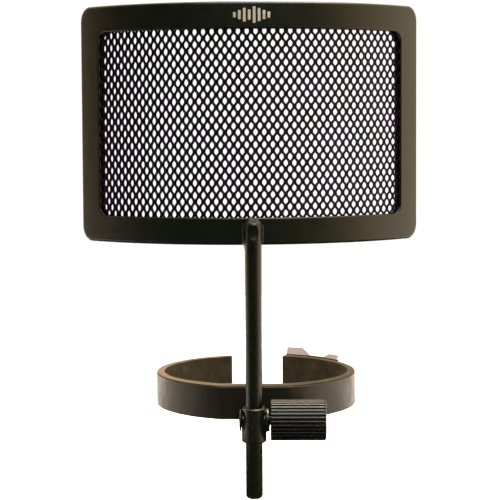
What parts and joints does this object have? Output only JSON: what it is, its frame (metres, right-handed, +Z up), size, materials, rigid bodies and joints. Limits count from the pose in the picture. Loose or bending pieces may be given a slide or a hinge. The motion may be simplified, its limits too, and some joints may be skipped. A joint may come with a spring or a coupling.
{
  "type": "pop filter",
  "caption": "Curved metal mesh pop filter on a rod that slides and turns in a thumbscrew clamp, with an open spring collar that grips a microphone body.",
  "frame": {"origin": "centre of the collar, halfway up its band", "axes": "+Z up along the gripped microphone and the rod; -Y towards the person speaking, past the screen; +X to the knob's side"},
  "size_m": [0.0928, 0.0702, 0.1316],
  "materials": {
    "black_paint": "satin black enamel over pressed steel",
    "black_mesh": "satin black coated expanded steel",
    "black_plastic": "satin black moulded plastic with straight ribs",
    "liner": "matt dark brown-black synthetic rubber strip",
    "steel": "zinc-plated steel",
    "brass": "turned brass",
    "nylon": "dark brown-grey nylon",
    "white_print": "white ink of the plain level-bars mark on the screen frame, shown in the visual model only"
  },
  "bodies": {
    "root": {"collar_band": "black_paint", "collar_liner": "liner", "collar_screw": "steel", "release_tab": "steel", "tab_rivet_inner": "steel", "tab_rivet_outer": "steel", "clamp_body": "black_paint", "barrel_plug": "black_paint"},
    "guide": {"guide_ring_upper": "nylon", "guide_ring_lower": "nylon"},
    "screen": {"front_bezel": "black_paint", "rear_bezel": "black_paint", "mesh_panel": "black_mesh", "support_rod": "black_paint", "weld_fillet_left": "black_paint", "weld_fillet_right": "black_paint"},
    "pad": {"pressure_pad": "brass"},
    "screw": {"thumbscrew": "steel", "knob": "black_plastic"}
  },
  "joints": [
    {"name": "screen_swivel", "type": "hinge", "parent": "root", "child": "guide", "pos_m": [0, -0.0326, 0], "axis": [0, 0, 1], "continuous": true},
    {"name": "screen_height", "type": "slide", "parent": "guide", "child": "screen", "axis": [0, 0, 1], "range_m": [-0.037, 0.015]},
    {"name": "pad_advance", "type": "slide", "parent": "root", "child": "pad", "axis": [1, 0, 0], "range_m": [0, 0.0015]},
    {"name": "thumbscrew_turn", "type": "hinge", "parent": "pad", "child": "screw", "pos_m": [0, -0.0326, -0.0034], "axis": [1, 0, 0], "range_deg": [0, 1080]}
  ],
  "couplings": [
    {"joint": "thumbscrew_turn", "follows": "pad_advance", "rad_per_m": 12566}
  ]
}
